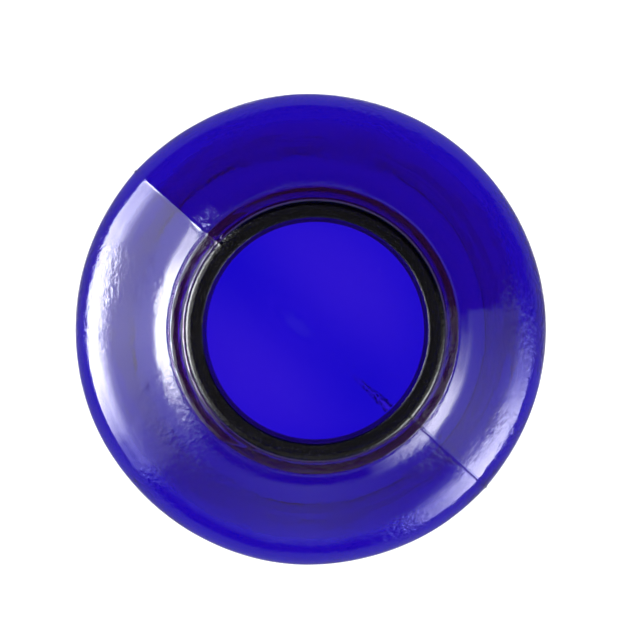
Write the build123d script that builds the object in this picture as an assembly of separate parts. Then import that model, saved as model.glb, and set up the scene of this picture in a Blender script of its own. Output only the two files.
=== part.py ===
from build123d import *
import os
from math import cos, radians, sin, sqrt

# A half-gallon glass mason jar, open, with its two-piece closure set down beside it.
# Millimetres, +Z up. The origin is on the surface that the jar stands on, under the middle of its mouth.

# The jar, outside
JAR_HEIGHT = 235.0
BODY_RADIUS = 60.3
HEEL_RADIUS = 10.3
FOOT_WIDTH = 5.0  # the flat ring that the jar stands on, inside the heel
PUSH_UP = 4.5  # how far the middle of the underside is raised
CORNER_RADIUS = 16.0  # the round between the straight wall and the shoulder
CORNER_SLOPE = radians(40)  # the shoulder's slope where that round begins
SHOULDER_SLOPE = radians(20)  # the slope where the shoulder meets the collar's fillet
COLLAR_FILLET = 9.4
COLLAR_RADIUS = 35.2
COLLAR_FOOT_Z = 214.0
COLLAR_ROUND_Z = 216.5
NECK_RADIUS = 31.7

# The jar, inside
WALL = 3.7
BASE_THICKNESS = 6.0
FLOOR_EDGE_Z = 7.0
INNER_HEEL_RADIUS = 12.0
INNER_NECK_RADIUS = 27.6
INNER_NECK_FILLET = 12.0

# The mouth and its ground lip
MOUTH_RADIUS = 26.1
MOUTH_TOP_Z = JAR_HEIGHT - 1.6
MOUTH_BOTTOM_Z = JAR_HEIGHT - 6.0
LIP_INNER_RADIUS = 27.2
LIP_OUTER_RADIUS = 30.3
LIP_SIDE_Z = JAR_HEIGHT - 2.2

# The jar's right-handed thread. Azimuths are in degrees, anticlockwise from +X as seen from above.
PITCH = 6.35
THREAD_CREST_RADIUS = 35.0
THREAD_TOP_Z = JAR_HEIGHT - 4.6
THREAD_START = 245.0
THREAD_TURNS = 1.35
RUN_IN = 16.0  # degrees over which the ridge rises to its full height
RIDGE_ROOT_HALF = 2.2
RIDGE_CREST_HALF = 1.1
RIDGE_EMBED = 0.7

# The screw band, standing on its curled lower edge
CLOSURE_X = 150.0
BAND_SHEET = 0.4
BAND_INNER_RADIUS = 35.35
BAND_HEIGHT = 16.5
BAND_CORNER_RADIUS = 2.0
BAND_OPENING_RADIUS = 28.9
CURL_RADIUS = 0.9
BAND_CREST_RADIUS = 34.0
BAND_THREAD_TOP_Z = 10.5
BAND_THREAD_TURNS = 1.0
BAND_ROOT_HALF = 1.5
BAND_CREST_HALF = 0.7
BAND_EMBED = 0.2

# The lid under the band's flange, and the sealing compound under the lid
LID_GAP = 0.15
LID_TOP_Z = BAND_HEIGHT - BAND_SHEET - LID_GAP
LID_SHEET = 0.3
LID_RADIUS = 34.3
LID_EDGE_DROP = 1.5
CHANNEL_INNER_RADIUS = 26.6
PANEL_RADIUS = 25.5
PANEL_DEPTH = 1.0
BUTTON_RADIUS = 12.5
BUTTON_FOOT_RADIUS = 14.5
BUTTON_HEIGHT = 0.6
SEAL_INNER_RADIUS = 26.95
SEAL_OUTER_RADIUS = 32.6
SEAL_THICKNESS = 0.8


def solid_of_revolution(outline):
    """Turn a closed outline of (radius, height) points about +Z."""
    return revolve(Plane.XZ * make_face(outline), Axis.Z)


def ridge_outline(root_half, crest_half, height, embed):
    """A thread's cross-section: height towards +X from its wall, with sloping flanks and a round crest."""
    edge = height - crest_half
    with BuildLine() as outline:
        Polyline((edge, -crest_half), (0, -root_half), (-embed, -root_half))
        Line((-embed, -root_half), (-embed, root_half))
        Polyline((-embed, root_half), (0, root_half), (edge, crest_half))
        ThreePointArc((edge, crest_half), (height, 0), (edge, -crest_half))
    return outline.line


def helical_ridge(outline, wall_radius, top_z, start, turns):
    """Sweep a thread's cross-section down clockwise from its start."""
    path = Helix(pitch=PITCH, height=PITCH * turns, radius=wall_radius)
    section_plane = Plane(origin=path @ 0, x_dir=(1, 0, 0), z_dir=path % 0)
    ridge = sweep(section_plane * make_face(outline), path, is_frenet=True)
    return Pos(0, 0, top_z - PITCH * turns) * Rot(0, 0, start - 360 * turns) * ridge


def on_circle(radius, azimuth):
    return Vector(radius * cos(radians(azimuth)), radius * sin(radians(azimuth)), 0)


def run_in_block(root_radius, crest_radius, azimuth, rise, middle_z, height):
    """The block outside the chord from the root at azimuth to the crest at azimuth + rise."""
    root = on_circle(root_radius, azimuth)
    crest = on_circle(crest_radius, azimuth + rise)
    chord = (crest - root).normalized()
    outward = chord.rotate(Axis.Z, -90 if rise > 0 else 90)
    depth = crest_radius - root_radius + 8
    middle = root + outward * (depth / 2) + Vector(0, 0, middle_z)
    chord_plane = Plane(origin=middle, x_dir=chord, z_dir=(0, 0, 1))
    return chord_plane * Box(3 * (crest - root).length, depth, height)


def jar_thread():
    height = THREAD_CREST_RADIUS - NECK_RADIUS
    outline = ridge_outline(RIDGE_ROOT_HALF, RIDGE_CREST_HALF, height, RIDGE_EMBED)
    ridge = helical_ridge(outline, NECK_RADIUS, THREAD_TOP_Z, THREAD_START, THREAD_TURNS)
    end_z = THREAD_TOP_Z - PITCH * THREAD_TURNS
    end = THREAD_START - 360 * THREAD_TURNS
    root = NECK_RADIUS - 0.3
    crest = THREAD_CREST_RADIUS + 0.1
    ridge -= run_in_block(root, crest, THREAD_START, -RUN_IN, THREAD_TOP_Z, PITCH)
    ridge -= run_in_block(root, crest, end, RUN_IN, end_z, PITCH)
    return ridge


def along(start, slope, distance):
    """The point at a distance from start, along a surface normal that leans out from +Z by slope."""
    return (start[0] + distance * sin(slope), start[1] + distance * cos(slope))


def shoulder_centres():
    """The shoulder arc's centre and radius, and the corner arc's centre, from the collar outwards."""
    fillet_centre = (COLLAR_RADIUS + COLLAR_FILLET, COLLAR_FOOT_Z)
    join = along(fillet_centre, SHOULDER_SLOPE, -COLLAR_FILLET)
    corner_x = BODY_RADIUS - CORNER_RADIUS
    corner_start = corner_x + CORNER_RADIUS * sin(CORNER_SLOPE)
    radius = (corner_start - join[0]) / (sin(CORNER_SLOPE) - sin(SHOULDER_SLOPE))
    centre = along(join, SHOULDER_SLOPE, -radius)
    corner_z = centre[1] + (radius - CORNER_RADIUS) * cos(CORNER_SLOPE)
    return centre, radius, (corner_x, corner_z)


def inner_neck_bend(centre, radius):
    """Where the shoulder's inside meets the neck's fillet, and where that fillet turns upright."""
    fillet_x = INNER_NECK_RADIUS + INNER_NECK_FILLET
    reach = radius + INNER_NECK_FILLET
    across = fillet_x - centre[0]
    up = sqrt(reach**2 - across**2)
    join = (centre[0] + across * radius / reach, centre[1] + up * radius / reach)
    return join, (INNER_NECK_RADIUS, centre[1] + up)


def jar_outline():
    """One closed outline, up the outside from the underside's middle and down the inside."""
    foot_outer = BODY_RADIUS - HEEL_RADIUS
    foot_inner = foot_outer - FOOT_WIDTH
    centre, radius, corner_centre = shoulder_centres()
    corner_z = corner_centre[1]
    corner_top = along(corner_centre, CORNER_SLOPE, CORNER_RADIUS)
    fillet_low = along(centre, SHOULDER_SLOPE, radius)
    collar_foot = (COLLAR_RADIUS, COLLAR_FOOT_Z)
    collar_round = (COLLAR_RADIUS, COLLAR_ROUND_Z)
    collar_top = (NECK_RADIUS, COLLAR_ROUND_Z + COLLAR_RADIUS - NECK_RADIUS)
    inner_radius = BODY_RADIUS - WALL
    inner_corner_top = along(corner_centre, CORNER_SLOPE, CORNER_RADIUS - WALL)
    inner_join, inner_neck = inner_neck_bend(centre, radius - WALL)
    inner_heel_z = FLOOR_EDGE_Z + INNER_HEEL_RADIUS
    floor_edge = (inner_radius - INNER_HEEL_RADIUS, FLOOR_EDGE_Z)
    floor_middle = (0, PUSH_UP + BASE_THICKNESS)
    slope_up = (-cos(CORNER_SLOPE), sin(CORNER_SLOPE))
    with BuildLine() as outline:
        TangentArc((0, PUSH_UP), (foot_inner, 0), tangent=(1, 0))
        Line((foot_inner, 0), (foot_outer, 0))
        TangentArc((foot_outer, 0), (BODY_RADIUS, HEEL_RADIUS), tangent=(1, 0))
        Line((BODY_RADIUS, HEEL_RADIUS), (BODY_RADIUS, corner_z))
        TangentArc((BODY_RADIUS, corner_z), corner_top, tangent=(0, 1))
        TangentArc(corner_top, fillet_low, tangent=slope_up)
        TangentArc(collar_foot, fillet_low, tangent=(0, -1))
        Line(collar_foot, collar_round)
        TangentArc(collar_round, collar_top, tangent=(0, 1))
        Line(collar_top, (NECK_RADIUS, LIP_SIDE_Z))
        TangentArc((NECK_RADIUS, LIP_SIDE_Z), (LIP_OUTER_RADIUS, JAR_HEIGHT), tangent=(0, 1))
        Line((LIP_OUTER_RADIUS, JAR_HEIGHT), (LIP_INNER_RADIUS, JAR_HEIGHT))
        TangentArc((MOUTH_RADIUS, MOUTH_TOP_Z), (LIP_INNER_RADIUS, JAR_HEIGHT), tangent=(0, 1))
        Line((MOUTH_RADIUS, MOUTH_TOP_Z), (MOUTH_RADIUS, MOUTH_BOTTOM_Z))
        Line((MOUTH_RADIUS, MOUTH_BOTTOM_Z), inner_neck)
        TangentArc(inner_neck, inner_join, tangent=(0, -1))
        TangentArc(inner_corner_top, inner_join, tangent=slope_up)
        TangentArc((inner_radius, corner_z), inner_corner_top, tangent=(0, 1))
        Line((inner_radius, corner_z), (inner_radius, inner_heel_z))
        TangentArc((inner_radius, inner_heel_z), floor_edge, tangent=(0, -1))
        TangentArc(floor_middle, floor_edge, tangent=(1, 0))
        Line(floor_middle, (0, PUSH_UP))
    return outline.line


def glass_jar():
    return solid_of_revolution(jar_outline()) + jar_thread()


def band_shell():
    """The flange, rounded corner and skirt in sheet, with the solid curl round the lower edge."""
    outer = BAND_INNER_RADIUS + BAND_SHEET
    corner = outer - BAND_CORNER_RADIUS
    corner_z = BAND_HEIGHT - BAND_CORNER_RADIUS
    flange_z = BAND_HEIGHT - BAND_SHEET
    with BuildLine() as outline:
        Line((BAND_INNER_RADIUS, CURL_RADIUS), (outer, CURL_RADIUS))
        Line((outer, CURL_RADIUS), (outer, corner_z))
        TangentArc((outer, corner_z), (corner, BAND_HEIGHT), tangent=(0, 1))
        Line((corner, BAND_HEIGHT), (BAND_OPENING_RADIUS, BAND_HEIGHT))
        Line((BAND_OPENING_RADIUS, BAND_HEIGHT), (BAND_OPENING_RADIUS, flange_z))
        Line((BAND_OPENING_RADIUS, flange_z), (corner, flange_z))
        TangentArc((BAND_INNER_RADIUS, corner_z), (corner, flange_z), tangent=(0, 1))
        Line((BAND_INNER_RADIUS, corner_z), (BAND_INNER_RADIUS, CURL_RADIUS))
    curl = Torus(BAND_INNER_RADIUS + CURL_RADIUS, CURL_RADIUS)
    return solid_of_revolution(outline.line) + Pos(0, 0, CURL_RADIUS) * curl


def screw_band():
    height = BAND_INNER_RADIUS - BAND_CREST_RADIUS
    outline = mirror(ridge_outline(BAND_ROOT_HALF, BAND_CREST_HALF, height, BAND_EMBED), Plane.YZ)
    ridge = helical_ridge(
        outline, BAND_INNER_RADIUS, BAND_THREAD_TOP_Z, THREAD_START, BAND_THREAD_TURNS
    )
    return Pos(CLOSURE_X, 0, 0) * (band_shell() + ridge)


def lid_face(drop):
    """The lid's top surface as (radius, height) points from the middle out, lowered by drop."""
    panel_z = LID_TOP_Z - PANEL_DEPTH - drop
    rim_start = LID_RADIUS - LID_EDGE_DROP
    return [
        (0, panel_z + BUTTON_HEIGHT),
        (BUTTON_RADIUS, panel_z + BUTTON_HEIGHT),
        (BUTTON_FOOT_RADIUS, panel_z),
        (PANEL_RADIUS, panel_z),
        (CHANNEL_INNER_RADIUS, LID_TOP_Z - drop),
        (rim_start, LID_TOP_Z - drop),
    ]


def lid_disc():
    """A pressed disc with a raised button, a sunken panel, a raised channel and a turned-down edge."""
    top = lid_face(0)
    under = lid_face(LID_SHEET)
    edge_z = LID_TOP_Z - LID_EDGE_DROP
    with BuildLine() as outline:
        Polyline(*top)
        TangentArc(top[-1], (LID_RADIUS, edge_z), tangent=(1, 0))
        Line((LID_RADIUS, edge_z), (LID_RADIUS - LID_SHEET, edge_z))
        TangentArc(under[-1], (LID_RADIUS - LID_SHEET, edge_z), tangent=(1, 0))
        Polyline(*under)
        Line(under[0], top[0])
    return Pos(CLOSURE_X, 0, 0) * solid_of_revolution(outline.line)


def lid_seal():
    """The ring of compound that fills the lid's channel, with a rounded lower face."""
    top_z = LID_TOP_Z - LID_SHEET
    side_z = top_z - SEAL_THICKNESS / 2
    middle = ((SEAL_INNER_RADIUS + SEAL_OUTER_RADIUS) / 2, top_z - SEAL_THICKNESS)
    with BuildLine() as outline:
        Line((SEAL_INNER_RADIUS, top_z), (SEAL_OUTER_RADIUS, top_z))
        Line((SEAL_OUTER_RADIUS, top_z), (SEAL_OUTER_RADIUS, side_z))
        ThreePointArc((SEAL_OUTER_RADIUS, side_z), middle, (SEAL_INNER_RADIUS, side_z))
        Line((SEAL_INNER_RADIUS, side_z), (SEAL_INNER_RADIUS, top_z))
    return Pos(CLOSURE_X, 0, 0) * solid_of_revolution(outline.line)


os.makedirs("parts", exist_ok=True)
for node in (glass_jar, lid_disc, lid_seal, screw_band):
    export_step(node(), f"parts/{node.__name__}.step")
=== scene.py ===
import math

import bpy
import numpy as np
from mathutils import Matrix, Vector


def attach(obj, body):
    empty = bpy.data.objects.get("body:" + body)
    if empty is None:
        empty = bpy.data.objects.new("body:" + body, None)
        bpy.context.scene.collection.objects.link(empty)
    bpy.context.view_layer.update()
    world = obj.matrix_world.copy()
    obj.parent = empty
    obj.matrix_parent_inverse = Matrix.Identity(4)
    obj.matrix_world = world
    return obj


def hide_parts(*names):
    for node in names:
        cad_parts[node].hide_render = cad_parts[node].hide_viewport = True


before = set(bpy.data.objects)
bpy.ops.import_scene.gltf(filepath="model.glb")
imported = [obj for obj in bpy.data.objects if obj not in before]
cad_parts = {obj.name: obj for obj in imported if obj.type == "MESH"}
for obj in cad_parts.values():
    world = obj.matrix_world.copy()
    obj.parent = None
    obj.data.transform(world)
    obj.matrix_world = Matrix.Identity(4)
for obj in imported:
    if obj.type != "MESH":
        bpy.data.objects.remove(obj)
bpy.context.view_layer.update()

# The open cobalt jar, its screw band, lid and sealing ring, on a lit table.
# Shapes are worked out in millimetres, as radius and height about an upright axis, and meshed in metres.

MM = 0.001

# Jar, outside
JAR_HEIGHT = 235.0
BODY_RADIUS = 60.3
HEEL_RADIUS = 10.3
FOOT_INNER_RADIUS = 45.0
PUSH_UP = 4.5
CORNER_RADIUS = 16.0
CORNER_SLOPE = 40.0
SHOULDER_SLOPE = 20.0
COLLAR_FILLET = 16.0
COLLAR_SLOPE = 56.4
COLLAR_FILLET_Z = 219.6
COLLAR_RADIUS = 35.7
COLLAR_ROUND_Z = 216.5
NECK_RADIUS = 31.7
LIP_SIDE_Z = JAR_HEIGHT - 2.2
LIP_OUTER_RADIUS = 30.3
LIP_INNER_RADIUS = 27.55
LIP_EDGE_RADIUS = 27.05
LIP_EDGE_Z = JAR_HEIGHT - 0.35

# Jar, inside
WALL = 3.7
MOUTH_RADIUS = 26.1
MOUTH_TOP_Z = JAR_HEIGHT - 2.4
MOUTH_BOTTOM_Z = JAR_HEIGHT - 6.0
INNER_NECK_RADIUS = 27.6
INNER_NECK_FILLET = 12.0
INNER_HEEL_RADIUS = 12.0
INNER_CORNER_DROP = 5.5
INNER_CORNER_SLOPE = 27.0
FLOOR_EDGE_Z = 7.0
FLOOR_MIDDLE_Z = 10.5

# Thread and mould seams, in degrees anticlockwise from +X as seen from above
PITCH = 6.35
THREAD_HEIGHT = 3.3
THREAD_TOP_Z = JAR_HEIGHT - 4.6
THREAD_START = 245.0
THREAD_TURNS = 1.35
THREAD_RUN_IN = 16.0
THREAD_FOOT_HALF = 2.02
THREAD_FLANK = 1.02
SEAMS = (138.0, 318.0)

# Marks of the mould and of the blowing, with each seam's own slope and half width under the base
SEAM_HEIGHT = 0.24
SEAM_WIDTH = 0.34
CREASE_HEIGHT = 0.16
CREASE_DEGREES = 7
GROOVE_SLOPE = 0.3
GROOVE_HALF = 0.6
GROOVE_BOTTOM = 0.08
SEAM_GROOVE_SLOPES = (0.3, 0.83)
SEAM_GROOVE_HALVES = (0.7, 2.1)
RIDGE_HEIGHT = 1.5
RIDGE_SINK = 0.8
RIDGE_HALF = 13

# The surfaces of the jar's outline
UNDERSIDE, OUTSIDE, LIP, INSIDE = range(4)

# Closure
CLOSURE_X = 150.0
BAND_INNER_RADIUS = 35.35
BAND_SHEET = 0.4
BAND_HEIGHT = 16.5
BAND_CORNER = 2.0
BAND_OPENING_RADIUS = 28.9
CURL_RADIUS = 0.9
BAND_PRESS = 1.35
BAND_THREAD_TOP_Z = 10.5
KNURLS = 132
KNURL_SINK = 0.08
KNURL_Z = 13.1
KNURL_HALF_SIZE = (0.26, 0.5, 1.5)
LID_TOP_Z = 15.95
LID_SHEET = 0.3
LID_RADIUS = 34.3
LID_EDGE_DROP = 1.5
CHANNEL_INNER_RADIUS = 26.6
PANEL_RADIUS = 25.5
PANEL_DEPTH = 1.0
BUTTON_RADIUS = 12.5
BUTTON_FOOT_RADIUS = 14.5
BUTTON_HEIGHT = 0.6
PRESS_LINE_RADIUS = 20.0
PRESS_LINE_DEPTH = 0.12
SEAL_INNER_RADIUS = 26.95
SEAL_OUTER_RADIUS = 32.6
SEAL_THICKNESS = 0.8
SEAL_SIDE = 0.15
LIP_MARK_DEPTH = 0.22
LIP_MARK_HALF = 1.1


# ---- outlines ----

def arc(centre, radius, start, end, steps):
    """Points on an arc. Angles are in degrees from outwards towards up."""
    angles = np.radians(np.linspace(start, end, steps + 1))
    return np.column_stack([centre[0] + radius * np.cos(angles), centre[1] + radius * np.sin(angles)])


def straight(start, end, steps):
    return np.linspace(start, end, steps + 1)


def joined(*stretches):
    """Stretches end to end, each without the first point that it shares with the one before."""
    return np.vstack([stretches[0]] + [stretch[1:] for stretch in stretches[1:]])


def hump(foot_z, rise, reach, steps):
    """A low rise over the axis, level at its middle and at its edge."""
    out = np.linspace(0, reach, steps + 1)
    return np.column_stack([out, foot_z + rise * (1 - smoothstep(0, reach, out))])


def upright_arc(foot, head, steps):
    """An arc that leaves foot straight up and ends at head."""
    across, up = foot[0] - head[0], head[1] - foot[1]
    radius = (across**2 + up**2) / (2 * abs(across))
    side = math.copysign(1, across)
    centre = (foot[0] - side * radius, foot[1])
    end = math.degrees(math.atan2(head[1] - centre[1], head[0] - centre[0]))
    return arc(centre, radius, 0 if side > 0 else 180, end, steps)


def leaning(start, slope, distance):
    """The point at a distance from start along a normal that leans outwards from upright by slope."""
    angle = math.radians(slope)
    return (start[0] + distance * math.sin(angle), start[1] + distance * math.cos(angle))


def shoulder_centres():
    fillet_centre = (COLLAR_RADIUS + COLLAR_FILLET * math.sin(math.radians(COLLAR_SLOPE)), COLLAR_FILLET_Z)
    join = leaning(fillet_centre, SHOULDER_SLOPE, -COLLAR_FILLET)
    corner_x = BODY_RADIUS - CORNER_RADIUS
    spread = math.sin(math.radians(CORNER_SLOPE)) - math.sin(math.radians(SHOULDER_SLOPE))
    corner_start = leaning((corner_x, 0), CORNER_SLOPE, CORNER_RADIUS)[0]
    radius = (corner_start - join[0]) / spread
    centre = leaning(join, SHOULDER_SLOPE, -radius)
    corner_z = leaning(centre, CORNER_SLOPE, radius - CORNER_RADIUS)[1]
    return fillet_centre, centre, radius, (corner_x, corner_z)


def jar_rows():
    """The jar's closed outline, from the underside's middle up the outside and down the inside.

    Returns the points, and for each the surface that it is on."""
    fillet_centre, centre, radius, corner = shoulder_centres()
    heel_x = BODY_RADIUS - HEEL_RADIUS
    inner_radius = BODY_RADIUS - WALL
    inner_heel_x = inner_radius - INNER_HEEL_RADIUS
    steep, gentle = 90 - CORNER_SLOPE, 90 - SHOULDER_SLOPE
    fillet_x = INNER_NECK_RADIUS + INNER_NECK_FILLET
    reach = radius - WALL + INNER_NECK_FILLET
    bend = math.degrees(math.acos((fillet_x - centre[0]) / reach))
    bend_z = centre[1] + reach * math.sin(math.radians(bend))
    corner_foot = (inner_radius, corner[1] - INNER_CORNER_DROP)
    collar_foot = leaning(fillet_centre, COLLAR_SLOPE, -COLLAR_FILLET)
    round_radius = COLLAR_RADIUS - NECK_RADIUS
    underside = joined(
        hump(0, PUSH_UP, FOOT_INNER_RADIUS, 24),
        straight((FOOT_INNER_RADIUS, 0), (heel_x, 0), 3),
    )
    outside = joined(
        arc((heel_x, HEEL_RADIUS), HEEL_RADIUS, -90, 0, 12),
        straight((BODY_RADIUS, HEEL_RADIUS), (BODY_RADIUS, corner[1]), 14),
        arc(corner, CORNER_RADIUS, 0, steep, 14),
        arc(centre, radius, steep, gentle, 10),
        arc(fillet_centre, COLLAR_FILLET, gentle + 180, 270 - COLLAR_SLOPE, 10),
        straight(collar_foot, (COLLAR_RADIUS, COLLAR_ROUND_Z), 3),
        arc((NECK_RADIUS, COLLAR_ROUND_Z), round_radius, 0, 90, 8),
        straight((NECK_RADIUS, COLLAR_ROUND_Z + round_radius), (NECK_RADIUS, LIP_SIDE_Z), 60),
        upright_arc((NECK_RADIUS, LIP_SIDE_Z), (LIP_OUTER_RADIUS, JAR_HEIGHT), 6),
    )
    lip = straight((LIP_OUTER_RADIUS, JAR_HEIGHT), (LIP_INNER_RADIUS, JAR_HEIGHT), 8)
    inside = joined(
        upright_arc((LIP_EDGE_RADIUS, LIP_EDGE_Z), (LIP_INNER_RADIUS, JAR_HEIGHT), 4)[::-1],
        straight((LIP_EDGE_RADIUS, LIP_EDGE_Z), (MOUTH_RADIUS, MOUTH_TOP_Z), 4),
        straight((MOUTH_RADIUS, MOUTH_TOP_Z), (MOUTH_RADIUS, MOUTH_BOTTOM_Z), 4),
        straight((MOUTH_RADIUS, MOUTH_BOTTOM_Z), (INNER_NECK_RADIUS, bend_z), 7),
        arc((fillet_x, bend_z), INNER_NECK_FILLET, 180, 180 + bend, 8),
        arc(centre, radius - WALL, bend, 90 - INNER_CORNER_SLOPE, 8),
        upright_arc(corner_foot, leaning(centre, INNER_CORNER_SLOPE, radius - WALL), 14)[::-1],
        straight(corner_foot, (inner_radius, FLOOR_EDGE_Z + INNER_HEEL_RADIUS), 14),
        arc((inner_heel_x, FLOOR_EDGE_Z + INNER_HEEL_RADIUS), INNER_HEEL_RADIUS, 0, -90, 12),
        hump(FLOOR_EDGE_Z, FLOOR_MIDDLE_Z - FLOOR_EDGE_Z, inner_heel_x, 17)[::-1],
    )
    stretches = (underside, outside, lip, inside)
    surface = np.concatenate([np.full(len(s) - (i > 0), i) for i, s in enumerate(stretches)])
    return joined(*stretches), surface


# ---- meshes ----

def smoothstep(low, high, value):
    t = np.clip((value - low) / (high - low), 0, 1)
    return t * t * (3 - 2 * t)


def turned_by(azimuth, centre):
    """Degrees from centre to azimuth, between -180 and 180."""
    return (azimuth - centre + 180) % 360 - 180


def ripples(azimuth, height, rng, count, length, amplitude):
    """Soft waves over an upright surface, with periods of about the given length in millimetres."""
    waves = np.zeros(np.broadcast(azimuth, height).shape)
    round_body = 2 * math.pi * BODY_RADIUS
    for _ in range(count):
        turns = rng.integers(1, int(round_body / length) + 1)
        rise = rng.uniform(-1, 1) / length
        phase = rng.uniform(0, 2 * math.pi)
        waves += np.sin(np.radians(azimuth) * turns + 2 * math.pi * rise * height + phase)
    return waves * amplitude / math.sqrt(count)


def lathe_mesh(name, radius, height, azimuth, poles, centre_x=0.0):
    """A closed mesh from rows of radius and height at each azimuth.

    With poles, the first and last rows are points."""
    rows, columns = radius.shape
    angle = np.radians(azimuth)[None, :]
    grid = np.stack([radius * np.cos(angle), radius * np.sin(angle), height], axis=-1)
    index = np.arange(rows * columns).reshape(rows, columns)
    right = np.roll(index, -1, axis=1)
    below = np.roll(index, -1, axis=0) if not poles else index[1:]
    below_right = np.roll(below, -1, axis=1)
    above = index if not poles else index[:-1]
    above_right = right if not poles else right[:-1]
    quads = np.stack([above, above_right, below_right, below], axis=-1).reshape(-1, 4)
    vertices = grid.reshape(-1, 3)
    faces = quads.tolist()
    if poles:
        first, last = index[0], index[-1]
        keep_first, keep_last = int(first[0]), int(last[0])
        merge = {int(i): keep_first for i in first} | {int(i): keep_last for i in last}
        faces = [list(dict.fromkeys(merge.get(i, i) for i in face)) for face in faces]
        vertices[keep_first] = (0, 0, height[0].mean())
        vertices[keep_last] = (0, 0, height[-1].mean())
    vertices[:, 0] += centre_x
    mesh = bpy.data.meshes.new(name)
    mesh.from_pydata((vertices * MM).tolist(), [], faces)
    mesh.shade_smooth()
    return mesh


def jar_azimuths():
    """Columns round the jar, closest together at the mould seams."""
    near = np.concatenate([np.linspace(-5, -1, 9)[:-1], np.linspace(-1, 1, 17), np.linspace(1, 5, 9)[1:]])
    far = np.linspace(5, 175, 152)[1:-1]
    return np.sort(np.concatenate([part + seam for seam in SEAMS for part in (near, far)]) % 360)


def thread_rise(azimuth, height):
    """How far the thread stands out of the neck: a ridge winding down clockwise from its start."""
    rise = np.zeros(np.broadcast(azimuth, height).shape)
    for turn in range(math.ceil(THREAD_TURNS) + 1):
        travel = (THREAD_START - azimuth) % 360 + 360 * turn
        centre = THREAD_TOP_Z - PITCH * travel / 360
        total = 360 * THREAD_TURNS
        ends = np.clip(np.minimum(travel, total - travel) / THREAD_RUN_IN, 0, 1)
        across = np.abs(height - centre)
        crest = THREAD_HEIGHT * np.clip((THREAD_FOOT_HALF - across) / THREAD_FLANK, 0, 1)
        rise = np.maximum(rise, np.minimum(crest, THREAD_HEIGHT * ends))
    return rise


def base_seam(radius, azimuth):
    """The groove of the mould's parting line across the underside, widest near the heel on one side."""
    groove = np.zeros(radius.shape)
    for seam, steep, wide in zip(SEAMS, SEAM_GROOVE_SLOPES, SEAM_GROOVE_HALVES):
        off = np.radians(turned_by(azimuth, seam))
        across = np.where(np.abs(off) < math.pi / 2, radius * np.sin(np.abs(off)), 1e3)
        slope = GROOVE_SLOPE + (steep - GROOVE_SLOPE) * smoothstep(18, 26, radius)
        half = GROOVE_HALF + (wide - GROOVE_HALF) * smoothstep(18, 40, radius)
        half = half * (1 - smoothstep(41, 44.5, radius))
        groove = np.maximum(groove, slope * (half - np.hypot(across, GROOVE_BOTTOM)))
    return groove


def floor_ridge(radius, azimuth):
    """The floor inside is thicker along the line of the mould seams than to either side."""
    across = radius * np.sin(np.radians(azimuth - SEAMS[0]))
    ridge = RIDGE_HEIGHT * np.exp(-((across / RIDGE_HALF) ** 2)) - RIDGE_SINK
    return ridge * (1 - smoothstep(28, 44, radius))


def jar_mesh():
    rng = np.random.default_rng(7)
    rows, surface = jar_rows()
    azimuth = jar_azimuths()
    radius = np.repeat(rows[:, :1], len(azimuth), axis=1)
    height = np.repeat(rows[:, 1:], len(azimuth), axis=1)
    on = surface[:, None]
    outside = on == OUTSIDE
    body = smoothstep(COLLAR_RADIUS - 2, COLLAR_RADIUS + 6, radius)
    neck = np.where(outside & (height > COLLAR_ROUND_Z), thread_rise(azimuth[None, :], height), 0)
    across = np.full(radius.shape, 1e3)
    crease = np.zeros(radius.shape)
    for seam in SEAMS:
        off = turned_by(azimuth[None, :], seam)
        across = np.minimum(across, radius * np.abs(np.radians(off)))
        crease += np.exp(-np.abs(off) / CREASE_DEGREES)
    seam_line = SEAM_HEIGHT * np.exp(-((across / SEAM_WIDTH) ** 2))
    waves_out = ripples(azimuth[None, :], height, rng, count=9, length=34, amplitude=0.05)
    waves_out += ripples(azimuth[None, :], height, rng, count=14, length=8, amplitude=0.008)
    waves_in = ripples(azimuth[None, :], height, rng, count=9, length=46, amplitude=0.09)
    radius = radius + neck
    radius += np.where(outside, body * (waves_out + CREASE_HEIGHT * crease) + seam_line * (height > 1), 0)
    wall = (on == INSIDE) & (height < MOUTH_BOTTOM_Z)
    radius += np.where(wall, smoothstep(20, 30, radius) * waves_in, 0)
    floor = (on == INSIDE) & (height < FLOOR_MIDDLE_Z + 0.01) & (radius < FOOT_INNER_RADIUS)
    height += np.where(floor, floor_ridge(radius, azimuth[None, :]), 0)
    under = (on == UNDERSIDE) & (rows[:, :1] < FOOT_INNER_RADIUS - 1)
    height += np.where(under, base_seam(radius, azimuth[None, :]), 0)
    mesh = lathe_mesh("jar", radius, height, azimuth, poles=True)
    # The lip's flat is marked 1 and its rounds 0.5. This sets the grit and roughness of the grinding, and the
    # painted shade that darkens the lip.
    ground_and_shade = mesh.attributes.new("ground_and_shade", "FLOAT", "POINT")
    lip = (rows[:, 1] > MOUTH_TOP_Z - 0.1) & (rows[:, 0] < LIP_OUTER_RADIUS + 0.8)
    shade = np.where(surface == LIP, 1, np.where(lip, 0.5, 0)).astype(np.float32)
    ground_and_shade.data.foreach_set("value", np.repeat(shade, len(azimuth)))
    return mesh


def even_azimuths(count):
    return np.arange(count) * 360 / count


def sheet_loop(path, sheet):
    """A closed loop round a metal sheet whose middle follows path, its outer face on the path's left."""
    along = np.gradient(path, axis=0)
    along /= np.linalg.norm(along, axis=1)[:, None]
    left = np.column_stack([-along[:, 1], along[:, 0]]) * sheet / 2
    return np.vstack([(path + left)[::-1], path - left])


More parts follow.
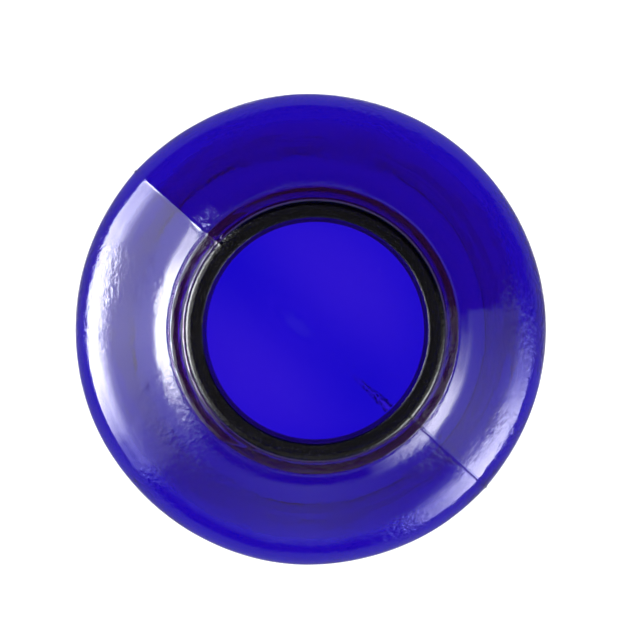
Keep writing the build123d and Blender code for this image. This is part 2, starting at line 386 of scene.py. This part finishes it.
def band_path():
    """The middle of the band's sheet: from the opening over the corner, down the skirt, round the curl."""
    middle = BAND_INNER_RADIUS + BAND_SHEET / 2
    corner = BAND_CORNER - BAND_SHEET / 2
    top = BAND_HEIGHT - BAND_SHEET / 2
    curl_centre = (BAND_INNER_RADIUS + CURL_RADIUS, CURL_RADIUS)
    curl = CURL_RADIUS - BAND_SHEET / 2
    return joined(
        straight((BAND_OPENING_RADIUS + 0.1, top), (middle - corner, top), 8),
        arc((middle - corner, top - corner), corner, 90, 0, 7),
        straight((middle, top - corner), (curl_centre[0] - curl, curl_centre[1]), 44),
        arc(curl_centre, curl, 180, 500, 18),
    )


def band_mesh():
    """The sheet band, with its thread pressed inwards as a rounded groove."""
    loop = sheet_loop(band_path(), BAND_SHEET)
    azimuth = even_azimuths(360)
    radius = np.repeat(loop[:, :1], len(azimuth), axis=1)
    height = np.repeat(loop[:, 1:], len(azimuth), axis=1)
    press = np.zeros(radius.shape)
    for turn in range(2):
        travel = (THREAD_START - azimuth[None, :]) % 360 + 360 * turn
        centre = BAND_THREAD_TOP_Z - PITCH * travel / 360
        ends = smoothstep(0, 35, np.minimum(travel, 395 - travel))
        across = np.abs(height - centre)
        press = np.maximum(press, ends * BAND_PRESS * (1 - smoothstep(0.4, 1.9, across)))
    skirt = (radius > BAND_INNER_RADIUS - 0.2) & (height > 2) & (radius < BAND_INNER_RADIUS + 0.6)
    radius -= np.where(skirt, press * smoothstep(2, 3, height), 0)
    return lathe_mesh("band", radius, height, azimuth, poles=False, centre_x=CLOSURE_X)


def lid_top():
    """The lid's upper face from its edge in to the middle, with every press line rounded."""
    rim = LID_RADIUS - LID_EDGE_DROP
    panel = LID_TOP_Z - PANEL_DEPTH
    reach = np.concatenate([np.linspace(rim, 27.2, 12), np.linspace(27, 25, 14), np.linspace(24.5, 15, 14)])
    reach = np.concatenate([reach, np.linspace(14.8, 12.2, 14), np.linspace(11.5, 0, 12)])
    height = LID_TOP_Z - PANEL_DEPTH * (1 - smoothstep(PANEL_RADIUS, CHANNEL_INNER_RADIUS, reach))
    height = height + BUTTON_HEIGHT * (1 - smoothstep(BUTTON_RADIUS, BUTTON_FOOT_RADIUS, reach))
    line = PRESS_LINE_DEPTH * np.exp(-(((reach - PRESS_LINE_RADIUS) / 0.5) ** 2))
    height = height - line * (height < panel + 0.01)
    edge = arc((rim, LID_TOP_Z - LID_EDGE_DROP), LID_EDGE_DROP, 0, 90, 6)
    return joined(edge, np.column_stack([reach, height]))


def lid_mesh():
    top = lid_top()
    under = top[::-1] - np.array([0, LID_SHEET])
    under[:, 0] *= (LID_RADIUS - LID_SHEET) / LID_RADIUS
    under[:, 1] = np.maximum(under[:, 1], LID_TOP_Z - LID_EDGE_DROP)
    loop = np.vstack([under, top])
    azimuth = even_azimuths(300)
    radius = np.repeat(loop[:, :1], len(azimuth), axis=1)
    height = np.repeat(loop[:, 1:], len(azimuth), axis=1)
    return lathe_mesh("lid", radius, height, azimuth, poles=True, centre_x=CLOSURE_X)


def seal_mesh():
    """The ring of compound in the lid's channel: flat above, rounded below, marked by a jar's lip."""
    top = LID_TOP_Z - LID_SHEET
    middle = (SEAL_INNER_RADIUS + SEAL_OUTER_RADIUS) / 2
    half = (SEAL_OUTER_RADIUS - SEAL_INNER_RADIUS) / 2
    turn = np.radians(np.linspace(180, 360, 33))
    depth = SEAL_THICKNESS - SEAL_SIDE
    below = np.column_stack([middle + half * np.cos(turn), top - SEAL_SIDE + depth * np.sin(turn)])
    below[:, 1] += LIP_MARK_DEPTH * np.exp(-(((below[:, 0] - middle) / LIP_MARK_HALF) ** 2))
    above = straight((SEAL_OUTER_RADIUS, top), (SEAL_INNER_RADIUS, top), 12)
    loop = np.vstack([below, above])
    azimuth = even_azimuths(300)
    rng = np.random.default_rng(3)
    radius = np.repeat(loop[:, :1], len(azimuth), axis=1)
    height = np.repeat(loop[:, 1:], len(azimuth), axis=1)
    marks = ripples(azimuth[None, :], radius, rng, count=7, length=16, amplitude=0.05)
    height += np.where(height < top - 0.3, marks, 0)
    return lathe_mesh("seal", radius, height, azimuth, poles=False, centre_x=CLOSURE_X)


# ---- knurled grip ----

def knurl_tree():
    """Fine upright ribs round the band: a circle of points, with one rounded rib on each, turned outwards."""
    tree = bpy.data.node_groups.new("band knurls", "GeometryNodeTree")
    tree.interface.new_socket("Geometry", in_out="INPUT", socket_type="NodeSocketGeometry")
    for name, kind in (("Count", "Int"), ("Radius", "Float"), ("Middle", "Vector")):
        tree.interface.new_socket(name, in_out="INPUT", socket_type="NodeSocket" + kind)
    tree.interface.new_socket("Rib Size", in_out="INPUT", socket_type="NodeSocketVector")
    tree.interface.new_socket("Metal", in_out="INPUT", socket_type="NodeSocketMaterial")
    tree.interface.new_socket("Geometry", in_out="OUTPUT", socket_type="NodeSocketGeometry")
    start = tree.nodes.new("NodeGroupInput")
    end = tree.nodes.new("NodeGroupOutput")
    circle = tree.nodes.new("GeometryNodeMeshCircle")
    place = tree.nodes.new("GeometryNodeInputPosition")
    turn = tree.nodes.new("FunctionNodeAlignRotationToVector")
    turn.axis = "X"
    turn.pivot_axis = "Z"
    rib = tree.nodes.new("GeometryNodeMeshUVSphere")
    rib.inputs["Segments"].default_value = 10
    rib.inputs["Rings"].default_value = 8
    rib.inputs["Radius"].default_value = 1
    shape = tree.nodes.new("GeometryNodeTransform")
    smooth = tree.nodes.new("GeometryNodeSetShadeSmooth")
    spread = tree.nodes.new("GeometryNodeInstanceOnPoints")
    shift = tree.nodes.new("GeometryNodeTransform")
    real = tree.nodes.new("GeometryNodeRealizeInstances")
    paint = tree.nodes.new("GeometryNodeSetMaterial")
    link = tree.links.new
    link(start.outputs["Count"], circle.inputs["Vertices"])
    link(start.outputs["Radius"], circle.inputs["Radius"])
    link(place.outputs["Position"], turn.inputs["Vector"])
    link(rib.outputs["Mesh"], shape.inputs["Geometry"])
    link(start.outputs["Rib Size"], shape.inputs["Scale"])
    link(shape.outputs["Geometry"], smooth.inputs["Geometry"])
    link(circle.outputs["Mesh"], spread.inputs["Points"])
    link(smooth.outputs["Geometry"], spread.inputs["Instance"])
    link(turn.outputs["Rotation"], spread.inputs["Rotation"])
    link(spread.outputs["Instances"], shift.inputs["Geometry"])
    link(start.outputs["Middle"], shift.inputs["Translation"])
    link(shift.outputs["Geometry"], real.inputs["Geometry"])
    link(real.outputs["Geometry"], paint.inputs["Geometry"])
    link(start.outputs["Metal"], paint.inputs["Material"])
    link(paint.outputs["Geometry"], end.inputs["Geometry"])
    return tree


def knurl_mesh(metal):
    tree = knurl_tree()
    holder = bpy.data.objects.new("knurl maker", bpy.data.meshes.new("knurl maker"))
    bpy.context.scene.collection.objects.link(holder)
    maker = holder.modifiers.new("knurls", "NODES")
    maker.node_group = tree
    values = {
        "Count": KNURLS,
        "Radius": (BAND_INNER_RADIUS + BAND_SHEET - KNURL_SINK) * MM,
        "Middle": (CLOSURE_X * MM, 0.0, KNURL_Z * MM),
        "Rib Size": tuple(half * MM for half in KNURL_HALF_SIZE),
        "Metal": metal,
    }
    for socket in tree.interface.items_tree:
        if socket.in_out == "INPUT" and socket.name in values:
            maker[socket.identifier] = values[socket.name]
    holder.update_tag()
    ready = holder.evaluated_get(bpy.context.evaluated_depsgraph_get())
    mesh = bpy.data.meshes.new_from_object(ready)
    holder.modifiers.remove(maker)
    bpy.data.objects.remove(holder)
    return mesh


def finished(name, mesh, material, body, nodes):
    """Puts a piece into the scene in place of its CAD nodes."""
    mesh.materials.clear()
    mesh.materials.append(material)
    piece = bpy.data.objects.new(name, mesh)
    bpy.context.scene.collection.objects.link(piece)
    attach(piece, body)
    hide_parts(*nodes)
    return piece


# ---- materials ----

GLASS_VIOLET = (0.8, 0.16, 0.68, 1)
# Painted shade: a near-black base colour laid on the lip and its rounds, standing in for the dark that thick
# cobalt glass shows there.
LIP_PAINTED_SHADE = (0.05, 0.04, 0.05, 1)
COBALT = (0.13, 0.2, 0.943, 1)
COBALT_DENSITY = 720
TARNISH = (0.2, 0.15, 0.11, 1)
FRESH_COMPOUND = (0.5, 0.13, 0.06, 1)
AGED_COMPOUND = (0.34, 0.08, 0.04, 1)


def material_tree(name):
    material = bpy.data.materials.new(name)
    material.use_nodes = True
    return material, material.node_tree, material.node_tree.nodes["Principled BSDF"]


def noise(tree, scale, detail, place=None):
    texture = tree.nodes.new("ShaderNodeTexNoise")
    texture.inputs["Scale"].default_value = scale
    texture.inputs["Detail"].default_value = detail
    place = place or tree.nodes.new("ShaderNodeTexCoord").outputs["Object"]
    tree.links.new(place, texture.inputs["Vector"])
    return texture.outputs["Fac"]


def mixed(tree, share, first, second):
    """A colour between first and second, each of them a colour or an output."""
    mix = tree.nodes.new("ShaderNodeMix")
    mix.data_type = "RGBA"
    tree.links.new(share, mix.inputs[0])
    for socket, colour in ((mix.inputs[6], first), (mix.inputs[7], second)):
        if isinstance(colour, tuple):
            socket.default_value = colour
        else:
            tree.links.new(colour, socket)
    return mix.outputs[2]


def spread_over(tree, value, low, high, start=0.0, stop=1.0):
    """The value's range from start to stop, stretched to run from low to high."""
    stretch = tree.nodes.new("ShaderNodeMapRange")
    for name, number in (("From Min", start), ("From Max", stop), ("To Min", low), ("To Max", high)):
        stretch.inputs[name].default_value = number
    tree.links.new(value, stretch.inputs["Value"])
    return stretch.outputs["Result"]


def bumped(tree, value, distance, over):
    """A surface raised by value, on top of the one in over."""
    bump = tree.nodes.new("ShaderNodeBump")
    bump.inputs["Distance"].default_value = distance
    tree.links.new(value, bump.inputs["Height"])
    if over:
        tree.links.new(over, bump.inputs["Normal"])
    return bump.outputs["Normal"]


def about_closure(tree):
    """Places measured from the closure's own axis."""
    shift = tree.nodes.new("ShaderNodeVectorMath")
    shift.operation = "SUBTRACT"
    shift.inputs[1].default_value = (CLOSURE_X * MM, 0, 0)
    tree.links.new(tree.nodes.new("ShaderNodeTexCoord").outputs["Object"], shift.inputs[0])
    return shift.outputs["Vector"]


def cobalt_glass():
    """Deep blue glass with a violet cast: smooth waves, wrinkled patches, grit on the lip flattened by
    grinding, and painted shade that turns the lip and its rounds near black.
    """
    material, tree, shader = material_tree("cobalt glass")
    shader.inputs["Transmission Weight"].default_value = 0.965
    shader.inputs["IOR"].default_value = 1.52
    ground_and_shade = tree.nodes.new("ShaderNodeAttribute")
    ground_and_shade.attribute_name = "ground_and_shade"
    # Painted shade: the lip's flat and its rounds get a near-black base colour in place of the glass's
    # violet.
    lip_shade_share = spread_over(tree, ground_and_shade.outputs["Fac"], 0, 1, 0, 0.4)
    glass_tint_and_lip_shade = mixed(tree, lip_shade_share, GLASS_VIOLET, LIP_PAINTED_SHADE)
    peel = bumped(tree, noise(tree, 260, 3), 0.00003, None)
    grit = noise(tree, 1700, 4)
    wrinkled = tree.nodes.new("ShaderNodeMath")
    wrinkled.operation = "MULTIPLY"
    tree.links.new(noise(tree, 700, 5), wrinkled.inputs[0])
    tree.links.new(spread_over(tree, noise(tree, 45, 2), 0, 1, 0.48, 0.62), wrinkled.inputs[1])
    bump = bumped(tree, wrinkled.outputs["Value"], 0.0002, peel)
    nicks = tree.nodes.new("ShaderNodeMath")
    nicks.operation = "MULTIPLY"
    rough = spread_over(tree, ground_and_shade.outputs["Fac"], 0.012, 0.16, 0.5, 1)
    absorb = tree.nodes.new("ShaderNodeVolumeAbsorption")
    absorb.inputs["Color"].default_value = COBALT
    absorb.inputs["Density"].default_value = COBALT_DENSITY
    link = tree.links.new
    link(grit, nicks.inputs[0])
    link(ground_and_shade.outputs["Fac"], nicks.inputs[1])
    chipped = bumped(tree, nicks.outputs["Value"], 0.00025, bump)
    link(glass_tint_and_lip_shade, shader.inputs["Base Color"])
    link(chipped, shader.inputs["Normal"])
    link(rough, shader.inputs["Roughness"])
    link(absorb.outputs["Volume"], tree.nodes["Material Output"].inputs["Volume"])
    return material


def tinplate(name, colour, rings):
    """Bright tinned sheet: fine rolled or turned grain, dulled patches, and small dark marks of use."""
    material, tree, shader = material_tree(name)
    shader.inputs["Metallic"].default_value = 1
    place = about_closure(tree)
    grain = tree.nodes.new("ShaderNodeTexWave" if rings else "ShaderNodeTexNoise")
    if rings:
        grain.wave_type = "RINGS"
        grain.rings_direction = "Z"
        grain.inputs["Scale"].default_value = 700
        grain.inputs["Distortion"].default_value = 3
        grain.inputs["Detail"].default_value = 3
    else:
        grain.inputs["Scale"].default_value = 60
        grain.inputs["Detail"].default_value = 6
    stretch = tree.nodes.new("ShaderNodeMapping")
    stretch.inputs["Scale"].default_value = (1, 1, 1) if rings else (1, 1, 30)
    tree.links.new(place, stretch.inputs["Vector"])
    tree.links.new(stretch.outputs["Vector"], grain.inputs["Vector"])
    patches = noise(tree, 55, 5, place)
    specks = noise(tree, 900, 4, place)
    marks = spread_over(tree, specks, 0, 1, 0.66, 0.72)
    clean = mixed(tree, patches, colour, tuple(0.86 * c for c in colour[:3]) + (1,))
    tree.links.new(mixed(tree, marks, clean, TARNISH), shader.inputs["Base Color"])
    tree.links.new(spread_over(tree, patches, 0.2, 0.42, 0.3, 0.7), shader.inputs["Roughness"])
    tree.links.new(bumped(tree, grain.outputs["Fac"], 0.000012, None), shader.inputs["Normal"])
    return material


def sealing_compound():
    """Dull red rubbery compound with a fine grain."""
    material, tree, shader = material_tree("sealing compound")
    place = about_closure(tree)
    cloud = noise(tree, 180, 5, place)
    fine = noise(tree, 1500, 3, place)
    tree.links.new(mixed(tree, cloud, FRESH_COMPOUND, AGED_COMPOUND), shader.inputs["Base Color"])
    tree.links.new(spread_over(tree, fine, 0.42, 0.62), shader.inputs["Roughness"])
    tree.links.new(bumped(tree, fine, 0.00004, None), shader.inputs["Normal"])
    return material


# ---- table, lights and camera, in metres ----

TABLE_REACH = 8.0
TABLE_GLOW = 1.3
WALL_DISTANCE = 0.7
CEILING_Z = 1.9
CEILING_REACH = 2.5
CEILING_GLOW = 0.1
LENS = 164.5
EYE = (-0.0175, 0.0050, 0.935)
AIM = (0.00248, 0.00238, 0.180)


def glow_material(name):
    """A light whose strength is the glow painted on its mesh."""
    material = bpy.data.materials.new(name)
    material.use_nodes = True
    tree = material.node_tree
    tree.nodes.clear()
    glow = tree.nodes.new("ShaderNodeAttribute")
    glow.attribute_name = "glow"
    emission = tree.nodes.new("ShaderNodeEmission")
    output = tree.nodes.new("ShaderNodeOutputMaterial")
    tree.links.new(glow.outputs["Fac"], emission.inputs["Strength"])
    tree.links.new(emission.outputs["Emission"], output.inputs["Surface"])
    return material


def staged(name, x, y, z, glow):
    """A glowing sheet from grids of places in metres, put on the set."""
    rows, columns = x.shape
    index = np.arange(rows * columns).reshape(rows, columns)
    quads = np.stack([index[:-1, :-1], index[:-1, 1:], index[1:, 1:], index[1:, :-1]], axis=-1)
    mesh = bpy.data.meshes.new(name)
    mesh.from_pydata(np.stack([x, y, z], axis=-1).reshape(-1, 3).tolist(), [], quads.reshape(-1, 4).tolist())
    painted = mesh.attributes.new("glow", "FLOAT", "POINT")
    painted.data.foreach_set("value", glow.astype(np.float32).ravel())
    mesh.materials.append(glow_material(name))
    sheet = bpy.data.objects.new(name, mesh)
    bpy.context.scene.collection.objects.link(sheet)
    return sheet


def disc_grid(reach, height):
    """Places on rings round the jar's axis, for a level sheet."""
    turn, distance = np.meshgrid(np.radians(np.arange(0, 361, 6)), reach)
    return distance * np.cos(turn), distance * np.sin(turn), np.full(turn.shape, height), distance


def lit_table():
    """A white glowing table. Its shine in the glass comes from a dimmer sheet just under it."""
    x, y, z, distance = disc_grid((0.0, 0.5, TABLE_REACH), -0.0002)
    table = staged("table", x, y, z, np.full(z.shape, TABLE_GLOW))
    table.visible_glossy = False
    x, y, z, distance = disc_grid((0.0, 0.09, 0.12, 0.15, 0.3, TABLE_REACH), -0.001)
    shine = staged("table shine", x, y, z, np.interp(distance, (0.09, 0.15), (1.1, 0.2)))
    glossy_only(shine)


def glossy_only(light):
    """Leaves a light to be seen only as a shine on the pieces."""
    light.visible_camera = False
    light.visible_transmission = False
    light.visible_diffuse = False


def light_wall(distance, layers):
    """A wall of light round the set. Each layer is a strength by azimuth and the share of it by height."""
    azimuth, z = np.meshgrid(np.arange(-120, 241, 1.0), np.linspace(0.02, 1.16, 115))
    turn = np.radians(azimuth)
    glow = np.zeros(z.shape)
    for strength, share in layers:
        across = np.interp(azimuth, *zip(*strength), left=0, right=0)
        glow += across * np.interp(z, *zip(*share), left=0, right=0)
    glossy_only(staged("light wall", distance * np.cos(turn), distance * np.sin(turn), z, glow))


def studio():
    """Soft lights low and high on the left, weaker ones on the right and in front, and a faint ceiling."""
    world = bpy.data.worlds.new("studio")
    bpy.context.scene.world = world
    world.use_nodes = True
    world.node_tree.nodes["Background"].inputs["Color"].default_value = (0.6, 0.6, 0.62, 1)
    world.cycles_visibility.glossy = False
    low = ((0.02, 0), (0.05, 1), (0.3, 1), (0.36, 0.5), (0.42, 0.1), (0.5, 0))
    high = ((0.24, 0), (0.34, 1), (1.0, 1), (1.15, 0))
    left_low = ((138, 8), (150, 11), (165, 22), (180, 24), (195, 18), (212, 2), (225, 0))
    left_high = ((138, 3.1), (165, 3.2), (180, 3.8), (195, 3), (212, 1.7), (228, 0))
    right_low = ((-68, 0), (-60, 1.2), (-46, 7), (-38, 12), (-26, 10), (-14, 2.6), (0, 0.4), (6, 0))
    right_high = ((-43, 1.2), (-30, 1.3), (-15, 0.95), (0, 0.6), (5, 0.55), (7, 0))
    front = ((-120, 0.28), (-90, 0.5), (-60, 0.26), (-43, 0.22))
    front_left = ((212, 0.1), (228, 0.22), (240, 0.28))
    lower = [(strength, low) for strength in (left_low, right_low)]
    upper = [(strength, high) for strength in (left_high, right_high, front, front_left)]
    light_wall(WALL_DISTANCE, lower + upper)
    x, y, z, distance = disc_grid((0.0, 0.4, 0.8, 1.2, 1.6, 2.0, CEILING_REACH), CEILING_Z)
    ceiling_glow = CEILING_GLOW * (1 - smoothstep(0, CEILING_REACH, distance))
    glossy_only(staged("ceiling", x, y, z, ceiling_glow))
    bpy.context.scene.view_settings.view_transform = "Standard"
    cycles = bpy.context.scene.cycles
    cycles.max_bounces = 24
    cycles.glossy_bounces = 16
    cycles.transmission_bounces = 24


def camera():
    """Looks down from above, a little to one side of the jar's axis."""
    lens = bpy.data.cameras.new("camera")
    lens.sensor_width = 36
    lens.lens = LENS
    eye = bpy.data.objects.new("camera", lens)
    eye.location = EYE
    ahead = (Vector(AIM) - Vector(EYE)).normalized()
    right = ahead.cross(Vector((0, 1, 0))).normalized()
    eye.rotation_euler = Matrix((right, right.cross(ahead), -ahead)).transposed().to_euler()
    bpy.context.scene.collection.objects.link(eye)
    bpy.context.scene.camera = eye


band_metal = tinplate("band tinplate", (0.78, 0.77, 0.74, 1), rings=False)
lid_metal = tinplate("lid tinplate", (0.8, 0.79, 0.76, 1), rings=True)
finished("jar_glass", jar_mesh(), cobalt_glass(), "jar", ["glass_jar"])
finished("band_sheet", band_mesh(), band_metal, "band", ["screw_band"])
finished("band_knurls", knurl_mesh(band_metal), band_metal, "band", ["screw_band"])
finished("lid_plate", lid_mesh(), lid_metal, "lid", ["lid_disc"])
finished("seal_ring", seal_mesh(), sealing_compound(), "lid", ["lid_seal"])
lit_table()
studio()
camera()

bpy.context.view_layer.update()
